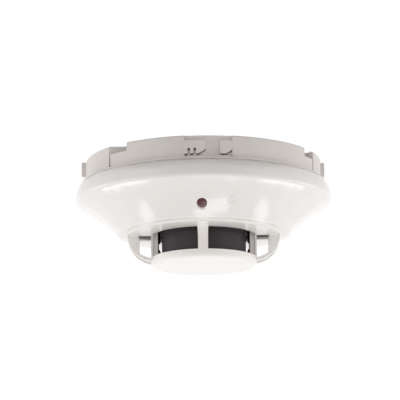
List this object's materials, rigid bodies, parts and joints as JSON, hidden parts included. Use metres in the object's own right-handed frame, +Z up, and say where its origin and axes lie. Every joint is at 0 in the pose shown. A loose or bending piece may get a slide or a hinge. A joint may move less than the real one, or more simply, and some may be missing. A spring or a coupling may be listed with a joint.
{
  "type": "heat detector",
  "caption": "Round ceiling detector head with a caged smoke chamber and guarded thermistors, on a twist-lock mounting base.",
  "frame": {"origin": "centre of the base's ceiling face, which is the centre of both pairs of screw slots and of the cable entry", "axes": "+Z up into the ceiling; the indicator and the base's keying blocks face -Y, the front; +X is to the right seen from the front, along the line of the two thermistor guards"},
  "size_m": [0.14, 0.14, 0.0576],
  "materials": {
    "base_plastic": "fine matte",
    "cover_plastic": "semi-gloss",
    "contact_brass": "tinned spring brass",
    "zinc_steel": "zinc plated",
    "tinned_steel": "bright tin",
    "board": "solder mask",
    "led_lens": "tinted clear",
    "black_plastic": "matte",
    "component_black": "moulded",
    "sleeve_plastic": "printed sleeve without text",
    "screen_black": "black coated mesh",
    "ir_lens": "dark tinted",
    "bead": "epoxy bead",
    "glass_clear": "clear"
  },
  "bodies": {
    "base": {"mounting_base": "base_plastic", "contact_plate_1": "contact_brass", "contact_plate_2": "contact_brass", "contact_plate_3": "contact_brass", "contact_plate_4": "contact_brass", "lever_pin": "zinc_steel", "spring_pin": "zinc_steel", "shorting_contact": "contact_brass"},
    "head": {"head_cover": "cover_plastic", "sensor_cage": "cover_plastic", "back_shell": "base_plastic", "contact_blade_1": "contact_brass", "contact_blade_2": "contact_brass", "contact_blade_3": "contact_brass", "contact_blade_4": "contact_brass", "housing_screws": "zinc_steel", "circuit_board": "board", "board_screws": "zinc_steel", "status_led": "led_lens", "led_holder": "black_plastic", "capacitors": "sleeve_plastic", "microcontroller": "component_black", "reed_switch": "glass_clear", "surge_diodes": "component_black", "inductors": "component_black", "resistors": "component_black", "shield_can": "tinned_steel", "chamber_base": "black_plastic", "labyrinth": "black_plastic", "chamber_cover": "black_plastic", "insect_screen": "screen_black", "ir_emitter": "ir_lens", "photodiode": "ir_lens", "thermistor_left": "bead", "thermistor_right": "bead", "thermistor_sleeves": "black_plastic"},
    "lever": {"tamper_lever": "base_plastic"},
    "spring": {"shorting_spring": "contact_brass"},
    "clamp_1": {"wire_clamp_1": "zinc_steel"},
    "screw_1": {"terminal_screw_1": "zinc_steel"},
    "clamp_2": {"wire_clamp_2": "zinc_steel"},
    "screw_2": {"terminal_screw_2": "zinc_steel"},
    "clamp_3": {"wire_clamp_3": "zinc_steel"},
    "screw_3": {"terminal_screw_3": "zinc_steel"},
    "clamp_4": {"wire_clamp_4": "zinc_steel"},
    "screw_4": {"terminal_screw_4": "zinc_steel"}
  },
  "joints": [
    {"name": "head_twist", "type": "hinge", "parent": "base", "child": "head", "pos_m": [0, 0, 0], "axis": [0, 0, 1], "range_deg": [-18, 0]},
    {"name": "shorting_spring_flex", "type": "hinge", "parent": "base", "child": "spring", "pos_m": [-0.016, 0.05, -0.0052], "axis": [0, 1, 0], "range_deg": [0, 3.3]},
    {"name": "tamper_lever_flex", "type": "hinge", "parent": "base", "child": "lever", "pos_m": [-0.013, -0.0585, -0.0059], "axis": [0, -1, 0], "range_deg": [0, 3.5], "stiffness_Nm_per_rad": 0.05},
    {"name": "clamp_slide_1", "type": "slide", "parent": "base", "child": "clamp_1", "axis": [0, 0, -1], "range_m": [0, 0.0018]},
    {"name": "screw_turn_1", "type": "hinge", "parent": "clamp_1", "child": "screw_1", "pos_m": [0.02334, -0.02334, -0.0052], "axis": [0, 0, -1], "range_deg": [0, 1080]},
    {"name": "clamp_slide_2", "type": "slide", "parent": "base", "child": "clamp_2", "axis": [0, 0, -1], "range_m": [0, 0.0018]},
    {"name": "screw_turn_2", "type": "hinge", "parent": "clamp_2", "child": "screw_2", "pos_m": [0.02334, 0.02334, -0.0052], "axis": [0, 0, -1], "range_deg": [0, 1080]},
    {"name": "clamp_slide_3", "type": "slide", "parent": "base", "child": "clamp_3", "axis": [0, 0, -1], "range_m": [0, 0.0018]},
    {"name": "screw_turn_3", "type": "hinge", "parent": "clamp_3", "child": "screw_3", "pos_m": [-0.02334, 0.02334, -0.0052], "axis": [0, 0, -1], "range_deg": [0, 1080]},
    {"name": "clamp_slide_4", "type": "slide", "parent": "base", "child": "clamp_4", "axis": [0, 0, -1], "range_m": [0, 0.0018]},
    {"name": "screw_turn_4", "type": "hinge", "parent": "clamp_4", "child": "screw_4", "pos_m": [-0.02334, -0.02334, -0.0052], "axis": [0, 0, -1], "range_deg": [0, 1080]}
  ],
  "couplings": [
    {"joint": "shorting_spring_flex", "follows": "head_twist", "ratio": -0.18},
    {"joint": "screw_turn_1", "follows": "clamp_slide_1", "rad_per_m": 10472},
    {"joint": "screw_turn_2", "follows": "clamp_slide_2", "rad_per_m": 10472},
    {"joint": "screw_turn_3", "follows": "clamp_slide_3", "rad_per_m": 10472},
    {"joint": "screw_turn_4", "follows": "clamp_slide_4", "rad_per_m": 10472}
  ]
}
